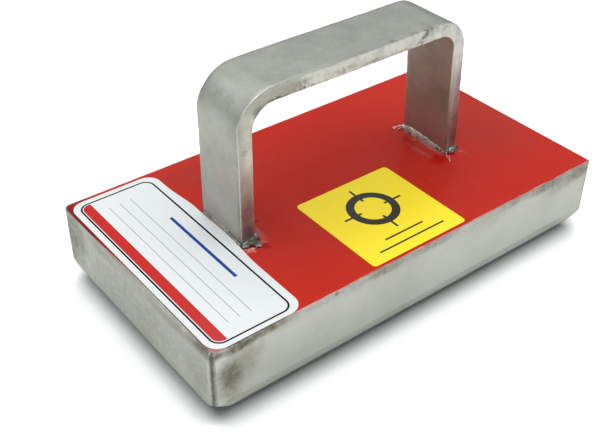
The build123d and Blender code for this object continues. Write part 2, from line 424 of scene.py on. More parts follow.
barFinish = {
    "pale": "#a1a49c",
    "dull": "#8f928a",
    "edge": "#d0d2ca",
    "edgeDull": "#b8bab2",
    "wearAndHighlight": "#dcddd3",
    "pit": "#7d7b72",
    "roughness": 0.54,
    # centre, radii (mm), colour, strength
    "tints": (
        # painted light: the outer face of the left leg is made paler, high up and near the foot
        ((-57, 2, 70), (4, 34, 66), "#b0b2a9", 1.0),
        ((-57, 2, 44), (5, 24, 14), "#c3bdb6", 0.8),
        ((-57, 8, 44), (5, 9, 7), "#b3a29b", 0.5),
        ((-57, -2, 60), (4, 9, 14), "#b5a7a1", 0.5),
        # painted shade: darker on the outer face just below the left bend
        ((-57, -9, 88), (6, 7, 8), "#94968e", 0.5),
        ((-57, 12, 96), (8, 5, 10), "#94968e", 0.4),
        ((-54, -11.5, 62), (6, 3, 12), "#a08c82", 0.65),
        ((-54, -11.5, 51), (6, 3, 11), "#7d5f56", 0.8),
        ((-53.5, -11.5, 42.5), (5, 3, 5), "#62605f", 0.8),
        ((-54, -11.5, 39.5), (5, 3, 3), "#6a5a4e", 0.7),
        ((57.5, -11.5, 64), (6, 4, 24), "#8f6d67", 0.9),
        ((57, -11.5, 48), (6, 4, 17), "#855650", 0.9),
        # painted shade: a dark line down the inner corner of the right leg's front face
        ((52.8, -11.5, 50), (1.5, 3, 44), "#6b4b45", 0.6),
        # painted shade along the top front corner of the beam, dimming its bright line
        ((0, -10.9, 101.6), (46, 1.1, 1.1), "#8b8e86", 0.8),
        # painted highlight on the outside of the left bend
        ((-53, 2, 94), (9, 22, 9), "#c3c5bd", 0.9),
        # painted shade: the front edge of the left bend is darkened, most toward its inside
        ((-50, -11.5, 97), (10, 3, 8), "#a09f95", 0.7),
        ((-47.0, -11.5, 92.8), (4.5, 3, 4.5), "#6f6f68", 0.85),
        ((-36, -11.5, 98), (14, 3, 5), "#8d8c82", 0.7),
        ((54, -11.5, 101), (3.5, 3, 2.5), "#8d7f79", 0.6),
    ),
    # dark chips and rough places on the front edge of the bar, at its y and this deep (mm):
    # x, z, their radii, colour, strength
    "chipFace": (-11.5, 3),
    "chips": (
        (35.5, 101.0, 4.5, 1.4, "#5f5c52", 0.95),
        (34.6, 99.4, 2.4, 1.7, "#6a685d", 0.9),
        (33.0, 98.2, 2.2, 1.5, "#6f6d62", 0.9),
        (31.2, 96.2, 2.6, 1.6, "#65635a", 0.9),
        (38.5, 99.5, 4.5, 2.6, "#9a978c", 0.8),
        (44.5, 99.5, 3.0, 2.0, "#94918a", 0.7),
        (54.2, 101.2, 2.0, 1.0, "#6d4f49", 0.8),
        (27.8, 101.6, 3.0, 0.9, "#6b6a60", 0.8),
        (16.5, 101.6, 2.6, 0.8, "#6f6e64", 0.8),
        (2, 101.6, 8, 0.6, "#85847a", 0.7),
        (-39, 95.6, 8, 1.5, "#5d594e", 0.95),
        (-26, 95.7, 8, 1.4, "#625e53", 0.95),
        (-29, 98.0, 8, 2.6, "#918c81", 0.8),
        (-8, 97.0, 10, 2.4, "#99948a", 0.7),
        (8, 96.2, 10, 1.4, "#8d887d", 0.7),
        (22, 95.8, 8, 1.2, "#8d8277", 0.6),
        (-54, 78, 2.6, 1.6, "#85827a", 0.6),
    ),
    # where the corners of the bar are worn and carry a painted highlight
    "wearAndHighlightPlaces": (((-52.5, -11.5, 97.5), (9, 3, 6.5)), ((-57, -11.5, 66), (2.2, 3, 36))),
}


def rolledBarSteel():
    # drawn flat bar, blasted and brushed: even grey faces, paler cut edges with pits, heat tint at the feet
    material, add, place = startMaterial("rolledBarSteel")
    cloud, fine, patch = (
        add("TexNoise", {"Vector": place, "Scale": per(size), "Detail": detail, "Roughness": rough})
        for size, detail, rough in ((16, 6, 0.62), (1.2, 5, 0.7), (5, 5, 0.65))
    )
    mixed = add("Math", cloud, fine, operation="ADD")
    tone = add("MapRange", mixed, 0.74, 1.26)
    faces = stain(add, barFinish["dull"], (barFinish["pale"], tone))
    # how far a face looks to the front or back tells the edges of the bar from its faces
    facing = add("NewGeometry").outputs["True Normal"]
    across = add("Math", add("SeparateXYZ", {"Vector": facing}).outputs["Y"], operation="ABSOLUTE")
    edgeMask = add("MapRange", across, 0.6, 0.95)
    edgeTone = add("MapRange", patch, 0.36, 0.56)
    edges = stain(add, barFinish["edgeDull"], (barFinish["edge"], edgeTone))
    pits = grains(add, place, 0.9, 3, 0.6, 0.62, 0.74, 0, 0.6)
    colour = stain(add, faces, (edges, edgeMask), (barFinish["pit"], pits, edgeMask))
    # the tints hold heat tint and stains, and painted light and shade on the left leg, the left bend, the
    # right leg's inner corner and the top front corner
    colour = tintPatches(add, place, colour, barFinish["tints"], patch, 0.25, 0.55, 0.4)
    edgeY, depth = barFinish["chipFace"]
    chips = [((x, edgeY, z), (wide, depth, high), *look) for x, z, wide, high, *look in barFinish["chips"]]
    colour = tintPatches(add, place, colour, chips, fine, 0.40, 0.56, 0.0)
    # painted highlight on the rounded corners at the left bend and down the leg, where they are also rubbed
    corner = add("Math", across, 0.6, operation="SUBTRACT")
    cornerGap = add("Math", corner, operation="ABSOLUTE")
    cornerMask = add("MapRange", cornerGap, 0.15, 0.38, 1.0, 0.0)
    wearAndHighlight = [patchMask(add, place, centre, radii, 0.5) for centre, radii in barFinish["wearAndHighlightPlaces"]]
    anyWorn = add("Math", wearAndHighlight[0], wearAndHighlight[1], operation="MAXIMUM")
    wearAndHighlightMask = add("Math", cornerMask, anyWorn, operation="MULTIPLY")
    broken = add("MapRange", fine, 0.3, 0.5)
    colour = stain(add, colour, (barFinish["wearAndHighlight"], wearAndHighlightMask, broken))
    dullness = barFinish["roughness"]
    roughness = add("MapRange", fine, 0, 1, dullness - 0.08, dullness + 0.12)
    traits = {"Base Color": colour, "Metallic": 0.9, "Roughness": roughness}
    return finishMaterial(material, add, traits, fine, 0.22, 0.15)


scaleFinish = {"dull": "#82766b", "pale": "#988c80", "heat": "#b08a80", "heatHeight": (42, 66)}


def brownScaleSteel():
    # the inside of the handle was never brushed: brown rolling scale, mostly dull
    material, add, place = startMaterial("brownScaleSteel")
    cloud = add("TexNoise", {"Vector": place, "Scale": per(13), "Detail": 6, "Roughness": 0.65})
    tone = add("MapRange", cloud, 0.36, 0.64)
    heat = byHeight(add, place, *scaleFinish["heatHeight"], 0.7, 0.0)
    colour = stain(add, scaleFinish["dull"], (scaleFinish["pale"], tone), (scaleFinish["heat"], heat))
    traits = {"Base Color": colour, "Metallic": 0.35, "Roughness": 0.5}
    return finishMaterial(material, add, traits, cloud, 0.2, 0.3)


weldFinish = {
    "tones": ((0.34, "#6c6d6e"), (0.50, "#949089"), (0.66, "#b9b2a8")),
    "slag": "#4d4a42",
    "toeHeight": (36.9, 37.9),
    # centre, radii (mm), colour, strength: the chipped bead inside the right foot and the sooty front drops
    "tints": (
        ((51.8, 3, 38), (4.5, 18, 5), "#d8ccbf", 0.9),
        ((56, -13, 37.5), (4.5, 3.5, 3.5), "#858a89", 0.6),
        ((-53, -14, 37.5), (6, 4.5, 3.5), "#504e4d", 0.9),
        ((-58, 2, 38), (3, 16, 4), "#bdb4ab", 0.6),
    ),
}


def stickWeldSteel():
    # electrode weld, chipped and brushed: dull grey with straw tints, dark slag left along the toe
    material, add, place = startMaterial("stickWeldSteel")
    tint = add("TexNoise", {"Vector": place, "Scale": per(3.4), "Detail": 4, "Roughness": 0.6})
    ramp = add("ValToRGB", {"Fac": tint})
    stops = ramp.color_ramp.elements
    stops.new(0.50)
    for stop, (position, colour) in zip(stops, weldFinish["tones"]):
        stop.position, stop.color = position, linear(colour)
    colour = tintPatches(add, place, ramp, weldFinish["tints"], tint, 0.25, 0.6, 0.5)
    toe = byHeight(add, place, *weldFinish["toeHeight"], 1.0, 0.25, "LINEAR")
    slag = add("TexNoise", {"Vector": place, "Scale": per(1.5), "Detail": 3})
    slagTone = add("MapRange", slag, 0.52, 0.64)
    slagMask = add("Math", slagTone, toe, operation="MULTIPLY")
    traits = {
        "Base Color": stain(add, colour, (weldFinish["slag"], slagMask)),
        "Metallic": add("MapRange", slagMask, 0, 1, 0.65, 0.2),
        "Roughness": add("MapRange", slag, 0, 1, 0.36, 0.6),
    }
    return finishMaterial(material, add, traits, slag, 0.3, 0.2)


def flatPlaces(add, place, centre=(0, 0)):
    # place on the top from a centre, in millimetres: the vector and its two parts
    moved = add("Mapping", {
        "Vector": place, "Location": (-centre[0], -centre[1], 0), "Scale": (per(1), per(1), 0),
    })
    split = add("SeparateXYZ", {"Vector": moved})
    return moved, split.outputs["X"], split.outputs["Y"]


def roundedDistance(add, place, centre, half, radius):
    # signed distance in millimetres to a rounded rectangle on the top: below 0 inside it
    flat = add("VectorMath", flatPlaces(add, place, centre)[0], operation="ABSOLUTE")
    past = add("VectorMath", flat, (half[0] - radius, half[1] - radius, 0), operation="SUBTRACT")
    clipped = add("VectorMath", past, (0, 0, 0), operation="MAXIMUM")
    outside = add("VectorMath", clipped, operation="LENGTH")
    parts = add("SeparateXYZ", {"Vector": past})
    larger = add("Math", parts.outputs["X"], parts.outputs["Y"], operation="MAXIMUM")
    inside = add("Math", larger, 0.0, operation="MINIMUM")
    both = add("Math", outside, inside, operation="ADD")
    return add("Math", both, radius, operation="SUBTRACT")


filmFinish = {
    "red": "#b12a1d",
    "deep": "#a32016",
    "fleck": "#d98a80",
    "whitened": "#c09a90",
    "torn": "#b8402f",
    "tornPale": "#d48f82",
    "roughness": 0.13,
    "rimOutline": ((0, 0), (103.0, 54.4), 2.0),  # centre, half size, corner
    "heated": (((48, -3, 36.4), (8, 17, 4)), ((-48, -10, 36.4), (5, 9, 4))),
    "heatDulling": 0.24,
    # centre, radii (mm), colour, strength: deep red painted reflection of the right leg beside its foot,
    # painted highlight along the folds and the tent, whitened torn film, dark spots, dirt along the front
    # rim, and darker film along the label end and over broad areas
    "marks": (
        # painted reflection: deep red where the dark right leg is reflected in the film beside its foot
        ((48.0, -13.4, 36.4), (7.5, 5.8, 3), "#a00000", 1.0),
        ((52.0, -11.8, 36.4), (2.8, 2.8, 3), "#a00000", 1.0),
        ((-49.4, -16.4, 36.4), (2.8, 3.0, 3), "#8f0806", 0.9),
        ((-42.9, -1.7, 36.4), (1.2, 0.8, 3), "#5a0c0a", 0.85),
        # painted highlight along the crest of the tent by the left foot
        ((-46.6, -8.2, 36.8), (2.0, 7.0, 3), "#9c4f45", 0.9),
        # painted highlight: pale pink bands along the folds by the right foot
        ((51.2, -4.0, 36.6), (2.1, 11.0, 3), "#bd5e56", 0.85),
        ((45.4, -3.5, 36.6), (1.7, 10.0, 3), "#ad433b", 0.8),
        # painted reflection of the right leg, dark red
        ((47.8, 5.0, 36.4), (2.6, 8.0, 3), "#8d130e", 0.5),
        ((50.6, 16.6, 36.6), (2.4, 1.6, 3), "#cb7769", 0.7),
        ((-55.7, -16.0, 36.6), (3.2, 1.6, 3), "#bd5146", 0.6),
        ((-80, -54.3, 36.2), (19, 1.3, 1), "#6b5a4c", 0.95),
        ((-97.4, -53.0, 36.2), (6.5, 4.5, 1.5), "#a06a60", 1.0),
        ((-99.4, 42, 36.2), (5.0, 44, 1.5), "#6a1c15", 1.0),
        ((-96, 54, 36.2), (14, 3.2, 1.5), "#74231b", 0.9),
        ((-99.6, -24, 36.2), (2.4, 50, 1.5), "#5f3a31", 1.0),
        ((-44.7, -54.3, 36.2), (1.3, 0.9, 1), "#4a2a20", 0.9),
        ((84, 0, 36.2), (36, 48, 9), "#962c24", 0.8),
        ((-44, 42, 36.2), (28, 15, 9), "#962c24", 0.7),
    ),
}


def calenderedVinyl():
    # glossy self-adhesive film: clear reflections that waver a little over the plate, faint scuffs and flecks
    material, add, place = startMaterial("calenderedVinyl")
    cloud, scuff, wave = (
        add("TexNoise", {"Vector": place, "Scale": per(size), "Detail": detail, "Roughness": rough})
        for size, detail, rough in ((60, 2, 0.5), (14, 5, 0.7), (7, 2, 0.5))
    )
    flecks = grains(add, place, 1.6, 1, 0.5, 0.80, 0.84, 0, 0.3)
    colour = stain(add, filmFinish["red"], (filmFinish["deep"], cloud), (filmFinish["fleck"], flecks))
    colour = tintPatches(add, place, colour, filmFinish["marks"], scuff, 0.25, 0.55, 0.6)
    # whitened where it is pressed down over the rim
    outline = roundedDistance(add, place, *filmFinish["rimOutline"])
    reach = grains(add, place, 9, 3, 0.5, 0, 1, -0.5, 0.5)
    rimGap = add("Math", outline, reach, operation="ADD")
    rim = add("MapRange", rimGap, -0.75, -0.4, 0, 0.85)
    colour = stain(add, colour, (filmFinish["whitened"], rim))
    gloss = filmFinish["roughness"]
    roughness = add("MapRange", scuff, 0.35, 0.75, gloss - 0.04, gloss + 0.12)
    # the heat of the welding dulled it beside the feet
    beside = [patchMask(add, place, centre, radii, 0) for centre, radii in filmFinish["heated"]]
    heat = add("Math", beside[0], beside[1], operation="MAXIMUM")
    dulled = add("Math", heat, filmFinish["heatDulling"], roughness, operation="MULTIPLY_ADD")
    traits = {"Base Color": colour, "Roughness": dulled, "Specular IOR Level": 0.4}
    return finishMaterial(material, add, traits, wave, 0.10, 0.2)


def tornVinyl():
    # stretched and torn film goes pale pink where it has whitened
    material, add, place = startMaterial("tornVinyl")
    pale = grains(add, place, 1.5, 3, 0.5, 0.38, 0.6)
    colour = stain(add, filmFinish["torn"], (filmFinish["tornPale"], pale))
    return finishMaterial(material, add, {"Base Color": colour, "Roughness": 0.3, "IOR": 1.5})


def between(add, value, low, high, soft=0.06):
    # 1 where value lies between low and high, fading over soft millimetres to each side of them
    rise = add("MapRange", value, low - soft, low + soft)
    fall = add("MapRange", value, high - soft, high + soft, 1.0, 0.0)
    return add("Math", rise, fall, operation="MULTIPLY")


labelPrint = {
    "stock": "#cdd1d1",
    "stockDull": "#c7cccc",
    "keyline": "#101014",
    "band": "#ae2321",
    "rule": "#8d969d",
    "header": "#1b3d8a",
    "centre": (-79.0, -0.9),
    "half": (16.6, 50.4),
    "corner": 4.2,
    "lineWidth": 0.8,
    "bandSides": (-120, -90.4),
    "rules": (-75.5, -80.5, -85.5),
    "ruleEnds": (-44.0, 42.0),
    "ruleWidth": 0.34,
    "headerSides": (-69.7, -68.3),
    "headerEnds": (-25.0, 21.0),
}


def printedLabelStock():
    # gloss white vinyl label with a printed border, a plain red band and write-on rules
    material, add, place = startMaterial("printedLabelStock")
    across, along = flatPlaces(add, place)[1:]
    distance = roundedDistance(add, place, labelPrint["centre"], labelPrint["half"], labelPrint["corner"])
    grain = add("TexNoise", {"Vector": place, "Scale": per(18), "Detail": 3})
    thin, line = labelPrint["ruleWidth"] / 2, labelPrint["lineWidth"] / 2
    length = between(add, along, *labelPrint["ruleEnds"])
    rules = [
        (labelPrint["rule"], between(add, across, rule - thin, rule + thin), length)
        for rule in labelPrint["rules"]
    ]
    header = between(add, across, *labelPrint["headerSides"])
    headerLength = between(add, along, *labelPrint["headerEnds"])
    inFrame = add("MapRange", distance, -0.82, -0.70, 1.0, 0.0)
    band = between(add, across, *labelPrint["bandSides"])
    keyline = between(add, distance, -line, line)
    colour = stain(add, labelPrint["stockDull"], (labelPrint["stock"], grain), *rules,
                   (labelPrint["header"], header, headerLength), (labelPrint["band"], inFrame, band),
                   (labelPrint["keyline"], keyline))
    wave = add("TexNoise", {"Vector": place, "Scale": per(11), "Detail": 2})
    traits = {"Base Color": colour, "Roughness": 0.2, "Specular IOR Level": 0.4}
    return finishMaterial(material, add, traits, wave, 0.08, 0.2)


stickerPrint = {
    "yellow": "#ead532",
    "yellowDull": "#e6d02e",
    "ink": "#34332e",
    "centre": (0.1, -23.5),
    "ring": (7.6, 11.2),
    "tick": 1.1,
    "tickEnds": (6.0, 15.0),
    "ruleWidth": 0.9,
    "rules": ((-18.7, 10.0), (-23.5, 17.0)),  # place from the centre, half length
}


def printedYellowVinyl():
    # gloss yellow vinyl with a plain ring-and-cross centre mark and two rules
    material, add, place = startMaterial("printedYellowVinyl")
    moved, x, y = flatPlaces(add, place, stickerPrint["centre"])
    distance = add("VectorMath", moved, operation="LENGTH")
    reach = between(add, distance, *stickerPrint["tickEnds"])
    tick, thin = stickerPrint["tick"] / 2, stickerPrint["ruleWidth"] / 2
    ink = stickerPrint["ink"]
    marks = [(ink, between(add, distance, *stickerPrint["ring"]))]
    marks += [(ink, between(add, axis, -tick, tick), reach) for axis in (x, y)]
    for rule, half in stickerPrint["rules"]:
        marks.append((ink, between(add, y, rule - thin, rule + thin), between(add, x, -half, half)))
    grain = add("TexNoise", {"Vector": place, "Scale": per(16), "Detail": 3})
    colour = stain(add, stickerPrint["yellowDull"], (stickerPrint["yellow"], grain), *marks)
    return finishMaterial(material, add, {"Base Color": colour, "Roughness": 0.22, "IOR": 1.5})


def plainFinish(name, pale, dull, size, metallic, roughness, depth):
    # hidden inner parts: two tones of the stuff's own colour in grains of a real size, with a fine relief
    material, add, place = startMaterial(name)
    grain = add("TexNoise", {"Vector": place, "Scale": per(size), "Detail": 4, "Roughness": 0.6})
    traits = {
        "Base Color": stain(add, dull, (pale, grain)),
        "Metallic": metallic,
        "Roughness": add("MapRange", grain, 0, 1, roughness - 0.1, roughness + 0.1),
    }
    return finishMaterial(material, add, traits, grain, 0.3, depth)


finishes = {
    "stainless_sheet": satinSheetSteel(),
    "stainless_bar": rolledBarSteel(),
    "weld_metal": stickWeldSteel(),
    "handle_inside": brownScaleSteel(),
    "corner_seam": groundSeamSteel(),
    "torn_film": tornVinyl(),
    "red_film": calenderedVinyl(),
    "white_label": printedLabelStock(),
    "yellow_sticker": printedYellowVinyl(),
    "yoke_steel": plainFinish("millScaleSteel", "#6a6c6e", "#3f4144", 12, 1.0, 0.5, 0.1),
    "ferrite": plainFinish("sinteredFerrite", "#3a3a3c", "#262629", 1.5, 0.0, 0.55, 0.05),
    "epoxy_glue": plainFinish("amberEpoxy", "#c9a94e", "#a88634", 6, 0.0, 0.2, 0.05),
    "potting_resin": plainFinish("blackPottingResin", "#2a2928", "#1b1a1a", 8, 0.0, 0.3, 0.1),
    "spacer_aluminium": plainFinish("extrudedAluminium", "#c9cacb", "#adafb1", 5, 1.0, 0.35, 0.03),
}
slotOf = {part["node"]: part["material_slot"] for part in frame["record"]["subparts"]}
for nodeName, node in frame["nodes"].items():
    finish = "corner_seam" if nodeName.startswith("corner_seam") else slotOf[nodeName]
    node.data.materials.clear()
    node.data.materials.append(finishes[finish])
print("finishes made:", len(finishes))

# Edges of the case are softened by the grinder, which gives the rim its thin bright line
tray = frame["nodes"]["tray_shell"]
addModifier(tray, "merge", "WELD", merge_threshold=0.002 * mm)
addModifier(tray, "soften", "BEVEL", width=0.3 * mm, segments=2, limit_method="ANGLE",
            angle_limit=math.radians(50))


# Handle, bent from one length of flat bar

handle = {
    "thickness": 6.5,
    "insideLeft": 9.5,
    "insideRight": 7.5,
    "lean": 2.4,
    "thinning": (0.3, 0.2),  # how far the outside of the left and right bend is pulled in
    "edgeRound": 0.5,
    "step": 1.3,
    "bendSteps": 16,
    "spare": 1,  # how far the legs are swept past the plate before they are cut
    "cutsWide": 16,
    "cutsThick": 4,
    "bendSpread": 1.35,
    "swell": 0.28,  # how far the bar spreads on the inside of a bend, each side
    "waviness": 0.10,
    "waveLength": 17,
    "nicks": 0.10,
    "nickLength": 1.7,
    "fade": 3,
    # where the bending left the bar uneven: centre, radii, push (mm)
    "dents": (
        ((-57, 2, 90), (6, 34, 17), (-0.5, 0, 0)),
        ((-57, -11.5, 93), (6, 13, 12), (-0.7, 0, 0.2)),
        ((-44, 2, 101.5), (17, 34, 5), (0, 0, -0.35)),
    ),
}


def footSpans():
    # the bar's box, and the low and high x of each foot
    low, high = boxOf("handle_bar")
    thick = handle["thickness"]
    return low, high, {"left": (low.x, low.x + thick), "right": (high.x - thick, high.x)}


def sweepBar(low, high, midY):
    # carries the bar's section up the left leg, over and down; returns the shape and its two bends
    thick, step, spare = handle["thickness"], handle["step"], handle["spare"]
    shape = flatPlate((-thick / 2, low.y - midY), (thick / 2, high.y - midY))
    roundCorners(shape, shape.verts[:], handle["edgeRound"], 3)
    bmesh.ops.delete(shape, geom=shape.faces[:], context="FACES_ONLY")
    for shortest, cuts in ((thick * 2, handle["cutsWide"]), (thick / 2, handle["cutsThick"])):
        edges = [edge for edge in shape.edges if edge.calc_length() > shortest]
        bmesh.ops.subdivide_edges(shape, edges=edges, cuts=cuts)
    bmesh.ops.translate(shape, vec=(low.x + thick / 2, midY, low.z - spare), verts=shape.verts)

    lean = math.atan(handle["lean"] / (high.z - low.z - thick / 2))
    innerTop = high.z - thick
    leftCentre = Vector((low.x + thick + handle["insideLeft"], midY, innerTop - handle["insideLeft"]))
    rightRadius = handle["insideRight"] + thick / 2
    rightZ = innerTop - handle["insideRight"]
    climb = (rightZ - low.z + rightRadius * math.sin(lean)) / math.cos(lean)
    rightX = high.x - thick / 2 - climb * math.sin(lean) - rightRadius * math.cos(lean)
    rightCentre = Vector((rightX, midY, rightZ))

    def carry(geom, travel, angle=0.0, centre=(0, 0, 0), steps=None):
        steps = steps or max(1, round(travel.length / step))
        swept = bmesh.ops.spin(shape, geom=geom, cent=centre, axis=(0, 1, 0), dvec=travel / steps,
                               angle=angle, steps=steps)
        return swept["geom_last"]

    still, bendSteps = Vector((0, 0, 0)), handle["bendSteps"]
    tip = carry(shape.verts[:] + shape.edges[:], Vector((0, 0, leftCentre.z - low.z + spare)))
    tip = carry(tip, still, math.radians(90), leftCentre, bendSteps)
    tip = carry(tip, Vector((rightCentre.x - leftCentre.x, 0, 0)))
    tip = carry(tip, still, math.radians(90) - lean, rightCentre, bendSteps)
    carry(tip, Vector((math.sin(lean), 0, -math.cos(lean))) * (climb + spare))
    bmesh.ops.remove_doubles(shape, verts=shape.verts, dist=0.001)
    bmesh.ops.bisect_plane(shape, geom=shape.verts[:] + shape.edges[:] + shape.faces[:], dist=0.001,
                           plane_co=(0, 0, low.z), plane_no=(0, 0, -1), clear_outer=True)
    bmesh.ops.holes_fill(shape, edges=[edge for edge in shape.edges if edge.is_boundary], sides=0)
    bmesh.ops.recalc_face_normals(shape, faces=shape.faces)
    shape.normal_update()
    bends = ((leftCentre, -1, handle["insideLeft"]), (rightCentre, 1, handle["insideRight"]))
    return shape, [(*bend, thinning) for bend, thinning in zip(bends, handle["thinning"])]


def workBar(point, side, bends):
    # what bending and knocking did to a point of the bar: the inside of a bend swells, its outside thins
    for centre, way, inside, thinning in bends:
        arm = Vector((point.x - centre.x, 0, point.z - centre.z))
        outward = arm.normalized()
        fromMiddle = math.acos(max(-1.0, min(1.0, (outward.x * way + outward.z) / math.sqrt(2))))
        depth = (arm.length - inside) / handle["thickness"]  # 0 on the inside of the bend, 1 on the outside
        near = math.cos(min(fromMiddle * handle["bendSpread"], math.pi / 2)) ** 2
        if near > 0 and -0.1 < depth < 2:
            point.y += side * handle["swell"] * near * (1 - 1.7 * min(1.0, depth))
            point -= outward * thinning * near * max(0.0, min(1.0, depth))
    for centre, radii, push in handle["dents"]:
        point += Vector(push) * (1 - smoothStep(0, 1, reachFrom(point, centre, radii)))
    return point


def bendHandle():
    low, high = boxOf("handle_bar")
    midY = (low.y + high.y) / 2
    shape, bends = sweepBar(low, high, midY)
    moves = []
    for vert in shape.verts:
        side = (vert.co.y - midY) / (high.y - midY)
        point = workBar(vert.co.copy(), side, bends)
        flat = noise.noise(point / handle["waveLength"]) * handle["waviness"]
        nick = 0
        if abs(abs(side) - 1) < 0.06:
            nick = noise.noise(point / handle["nickLength"]) * handle["nicks"]
        fade = min(1.0, (point.z - low.z) / handle["fade"])
        moves.append((vert, point + vert.normal * (flat + nick - 0.5 * abs(nick)) * fade))
    for vert, point in moves:
        vert.co = point
        vert.co.z = min(vert.co.z, high.z)
    shape.normal_update()
    # the faces that look into the window of the handle keep their rolling scale
    window = Vector(((low.x + high.x) / 2, midY, (low.z + high.z) / 2))
    for face in shape.faces:
        toWindow = window - face.calc_center_median()
        toWindow.y = 0
        face.material_index = int(face.normal.dot(toWindow) > 0 and abs(face.normal.y) < 0.45)
    slot = "stainless_bar"
    piece = savePiece(shape, "handle_flat_bar", finishes[slot], ("handle_bar",), 50)
    piece.data.materials.append(finishes["handle_inside"])


bendHandle()
print("handle bent")


# Weld passes round the feet

welds = {
    "segments": 28,
    "ringStep": 0.3,
    "roundness": 1.4,  # 1 is a flat face, 2 a round one
    "root": 0.45,
    "ripple": 1.9,  # mm between ripples
    "rippleDepth": 0.035,
    "rough": 0.16,
    "lumps": 0.22,
    "voxel": 0.16,
    # foot, face: end of the foot's section it starts and ends at (0 low x, 1 high x), the way it faces, and
    # stations (share of the run, reach over the plate, climb up the bar)
    "passes": {
        ("left", "outer"): (0, 0, (-1, 0, 0), (
            (0, 1.0, 1.3), (0.2, 1.2, 1.6), (0.36, 1.4, 2.2), (0.5, 1.4, 3.0), (0.6, 1.3, 2.5),
            (0.75, 1.4, 3.3), (0.9, 1.4, 3.6), (1, 1.3, 2.2),
        )),
        ("left", "inner"): (1, 1, (1, 0, 0), ((0, 2.6, 2.4), (0.4, 2.0, 2.0), (1, 2.3, 2.5))),
        ("left", "front"): (0, 1, (0, -1, 0), (
            (0, 1.8, 1.5), (0.35, 2.1, 1.8), (0.7, 2.4, 2.1), (1, 2.0, 2.2),
        )),
        ("left", "back"): (0, 1, (0, 1, 0), ((0, 2.0, 2.2), (1, 2.2, 2.2))),
        ("right", "inner"): (0, 0, (-1, 0, 0), (
            (0, 0.7, 1.2), (0.25, 0.9, 2.2), (0.5, 1.3, 3.0), (0.8, 1.7, 3.3), (1, 1.8, 2.6),
        )),
        ("right", "outer"): (1, 1, (1, 0, 0), ((0, 1.7, 1.7), (0.5, 2.3, 2.3), (1, 2.4, 2.3))),
        ("right", "front"): (0, 1, (0, -1, 0), ((0, 0.8, 0.9), (0.4, 1.3, 1.6), (1, 1.5, 1.6))),
        ("right", "back"): (0, 1, (0, 1, 0), ((0, 2.2, 2.2), (1, 2.2, 2.2))),
    },
    # frozen drops: centre, size (mm)
    "drops": {
        ("left", "front"): (
            ((-51.4, -14.5, 36.5), (1.9, 2.1, 1.0)), ((-53.4, -12.9, 37.1), (1.8, 1.4, 1.1)),
            ((-56.0, -13.0, 36.6), (1.7, 1.1, 0.9)),
        ),
        ("left", "inner"): (((-49.3, -9.2, 36.9), (1.3, 2.2, 1.1)),),
        ("left", "outer"): (((-57.6, -10.3, 36.9), (0.9, 1.4, 1.0)), ((-57.3, -2.6, 38.2), (0.5, 0.9, 1.1))),
        ("right", "front"): (
            ((55.7, -12.5, 37.3), (2.4, 1.6, 1.7)), ((57.7, -12.0, 37.0), (1.2, 1.0, 1.0)),
            ((54.2, -12.0, 37.2), (1.0, 0.9, 1.1)),
        ),
        ("right", "inner"): (((52.3, 14.6, 37.2), (1.2, 1.7, 1.3)),),
    },
}


def stationAt(stations, along):
    # reach and climb of a pass at a share of its run
    for (low, *first), (high, *second) in zip(stations, stations[1:]):
        if along <= high:
            mix = smoothStep(low, high, along)
            return [a * (1 - mix) + b * mix for a, b in zip(first, second)]
    return stations[-1][1:]


def layPass(start, end, away, stations, seed):
    # one bead along a foot, its skin pushed out to the reach and climb that the stations give
    shape = bmesh.new()
    run, power = Vector(end) - Vector(start), welds["roundness"]
    bmesh.ops.create_cone(shape, cap_ends=True, segments=welds["segments"], radius1=1, radius2=1, depth=1)
    tall = [edge for edge in shape.edges if abs(edge.verts[0].co.z - edge.verts[1].co.z) > 0.5]
    bmesh.ops.subdivide_edges(shape, edges=tall, cuts=round(run.length / welds["ringStep"]))
    count = run.length / welds["ripple"]
    for vert in shape.verts:
        along = vert.co.z + 0.5
        angle = math.atan2(vert.co.y, vert.co.x)
        over, climb = stationAt(stations, along)
        cosine, sine = math.cos(angle), math.sin(angle)
        reach = welds["root"]
        if cosine >= -0.01 and sine >= -0.01:
            reach = ((abs(cosine) / over) ** power + (abs(sine) / climb) ** power) ** (-1 / power)
            phase = along * count + 0.45 * math.cos(2 * (angle - math.pi / 4))
            phase += 0.5 * noise.noise(Vector((along * 5, seed, 0)))
            reach *= 1 + welds["rippleDepth"] * math.sin(2 * math.pi * phase)
        # both ends are rounded off
        edge = min(along, 1 - along) * run.length
        reach *= max(0.3, math.sqrt(max(0.0, 1 - (1 - min(1, edge / (0.6 * over))) ** 2)))
        spot = Vector(start) + run * along
        point = spot + Vector(away) * cosine * reach + Vector((0, 0, 1)) * sine * reach
        rough = noise.noise(point / 1.9 + Vector((seed, 0, 0))) + 0.35 * noise.noise(point / 0.7)
        point += (point - spot).normalized() * rough * welds["rough"] * climb / 2.2
        vert.co = point
    return shape


def addDrop(target, centre, size, seed):
    # a frozen drop of weld metal
    shape = bmesh.new()
    bmesh.ops.create_icosphere(shape, subdivisions=3, radius=1)
    for vert in shape.verts:
        lump = 1 + welds["lumps"] * noise.noise(vert.co * 1.6 + Vector((seed, seed, 0)))
        vert.co = Vector(centre) + Vector([c * s for c, s in zip(vert.co * lump, size)])
    joinInto(target, shape)


def meltTogether(shape):
    # fuses a pass and its drops into one skin, as the molten metal did
    holder = addObject("pass", meshOf(shape, "pass"))
    addModifier(holder, "melt", "REMESH", mode="VOXEL", voxel_size=welds["voxel"])
    addModifier(holder, "soften", "SMOOTH", iterations=2)
    depsgraph = bpy.context.evaluated_depsgraph_get()
    made = bpy.data.meshes.new_from_object(holder.evaluated_get(depsgraph))
    result = bmesh.new()
    result.from_mesh(made)
    unused = holder.data
    bpy.data.objects.remove(holder)
    for mesh in (unused, made):
        bpy.data.meshes.remove(mesh)
    return result


